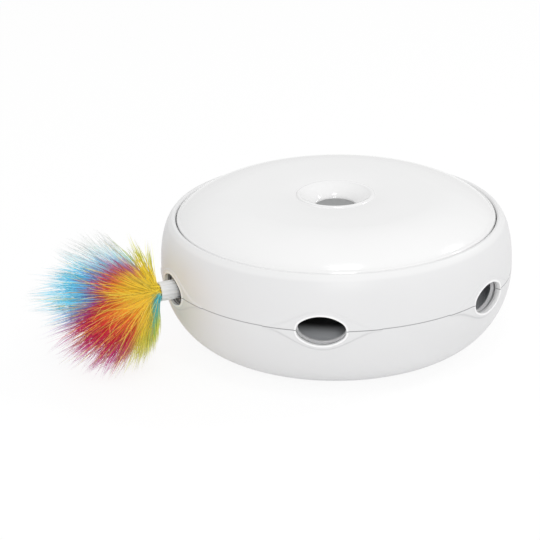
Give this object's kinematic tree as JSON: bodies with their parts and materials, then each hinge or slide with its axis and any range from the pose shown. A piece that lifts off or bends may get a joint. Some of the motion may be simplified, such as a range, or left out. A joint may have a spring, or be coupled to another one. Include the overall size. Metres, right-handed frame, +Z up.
{
  "type": "automatic cat feather toy",
  "caption": "Round battery-run cat toy: a motor-turned drum inside pokes a dyed feather out of eye-shaped holes in the side; domed lid with a sunken push button.",
  "frame": {"origin": "on the body's axis, at the ground plane that the rubber feet stand on, 1.5 mm under the middle of the lower shell's flat base", "axes": "+Z up along the body's and the drum's axis; the feather comes out along -X at rest; +Y completes the right-handed frame"},
  "size_m": [0.2783, 0.2, 0.083],
  "materials": {
    "shell_white": "satin moulded",
    "lid_white": "polished",
    "guide_white": "smooth moulded",
    "drum_grey": "smooth moulded",
    "button_grey": "smooth moulded",
    "deck_grey": "smooth moulded",
    "gear_white": "moulded acetal",
    "steel": "plain zinc plated",
    "motor_steel": "rolled sheet",
    "board_green": "solder mask",
    "black_plastic": "moulded",
    "cell_wrap": "printless wrap",
    "foot_rubber": "matt",
    "sleeve_white": "soft, ribbed along its length",
    "crimp_dark": "matt",
    "feather_dyed": "dyed barbs"
  },
  "bodies": {
    "housing": {"lower_shell": "shell_white", "upper_shell": "shell_white", "top_lid": "lid_white", "guide_ring": "guide_white", "deck": "deck_grey", "thrust_washer": "steel", "retaining_ring": "steel", "gear_motor": "motor_steel", "motor_clamp": "gear_white", "clamp_screws": "steel", "idler_pin": "steel", "circuit_board": "board_green", "board_parts": "black_plastic", "board_screws": "steel", "switch_body": "black_plastic", "button_spring": "steel", "lid_screws": "steel", "deck_screws": "steel", "battery_cells": "cell_wrap", "contact_plates": "steel", "contact_springs": "steel", "rubber_feet": "foot_rubber"},
    "drum": {"drum": "drum_grey", "drum_gear": "gear_white", "feather_stem": "sleeve_white", "feather_crimp": "crimp_dark", "feather_plume": "feather_dyed"},
    "idler": {"idler_gear": "gear_white"},
    "pinion": {"motor_shaft": "steel", "motor_pinion": "gear_white"},
    "button": {"power_button": "button_grey"},
    "plunger": {"switch_plunger": "black_plastic"},
    "door": {"battery_door": "shell_white"}
  },
  "joints": [
    {"name": "drum_spin", "type": "hinge", "parent": "housing", "child": "drum", "pos_m": [0, 0, 0], "axis": [0, 0, 1], "range_deg": [-180, 120], "deforming": ["feather_stem", "feather_plume"]},
    {"name": "idler_spin", "type": "hinge", "parent": "housing", "child": "idler", "pos_m": [0.01875, 0.03248, 0], "axis": [0, 0, 1], "range_deg": [-480, 720]},
    {"name": "pinion_spin", "type": "hinge", "parent": "housing", "child": "pinion", "pos_m": [-0.0052, 0.03966, 0], "axis": [0, 0, 1], "range_deg": [-1680, 1120]},
    {"name": "button_press", "type": "slide", "parent": "housing", "child": "button", "axis": [0, 0, -1], "range_m": [0, 0.001], "stiffness_N_per_m": 500, "springref_m": -0.001, "deforming": ["button_spring"]},
    {"name": "plunger_press", "type": "slide", "parent": "housing", "child": "plunger", "axis": [0, 0, -1], "range_m": [0, 0.001]},
    {"name": "door_hinge", "type": "hinge", "parent": "housing", "child": "door", "pos_m": [0, -0.02395, 0.0027], "axis": [-1, 0, 0], "range_deg": [0, 85]}
  ],
  "couplings": [
    {"joint": "idler_spin", "follows": "drum_spin", "ratio": -4},
    {"joint": "pinion_spin", "follows": "drum_spin", "ratio": 9.3333},
    {"joint": "plunger_press", "follows": "button_press", "ratio": 1}
  ]
}
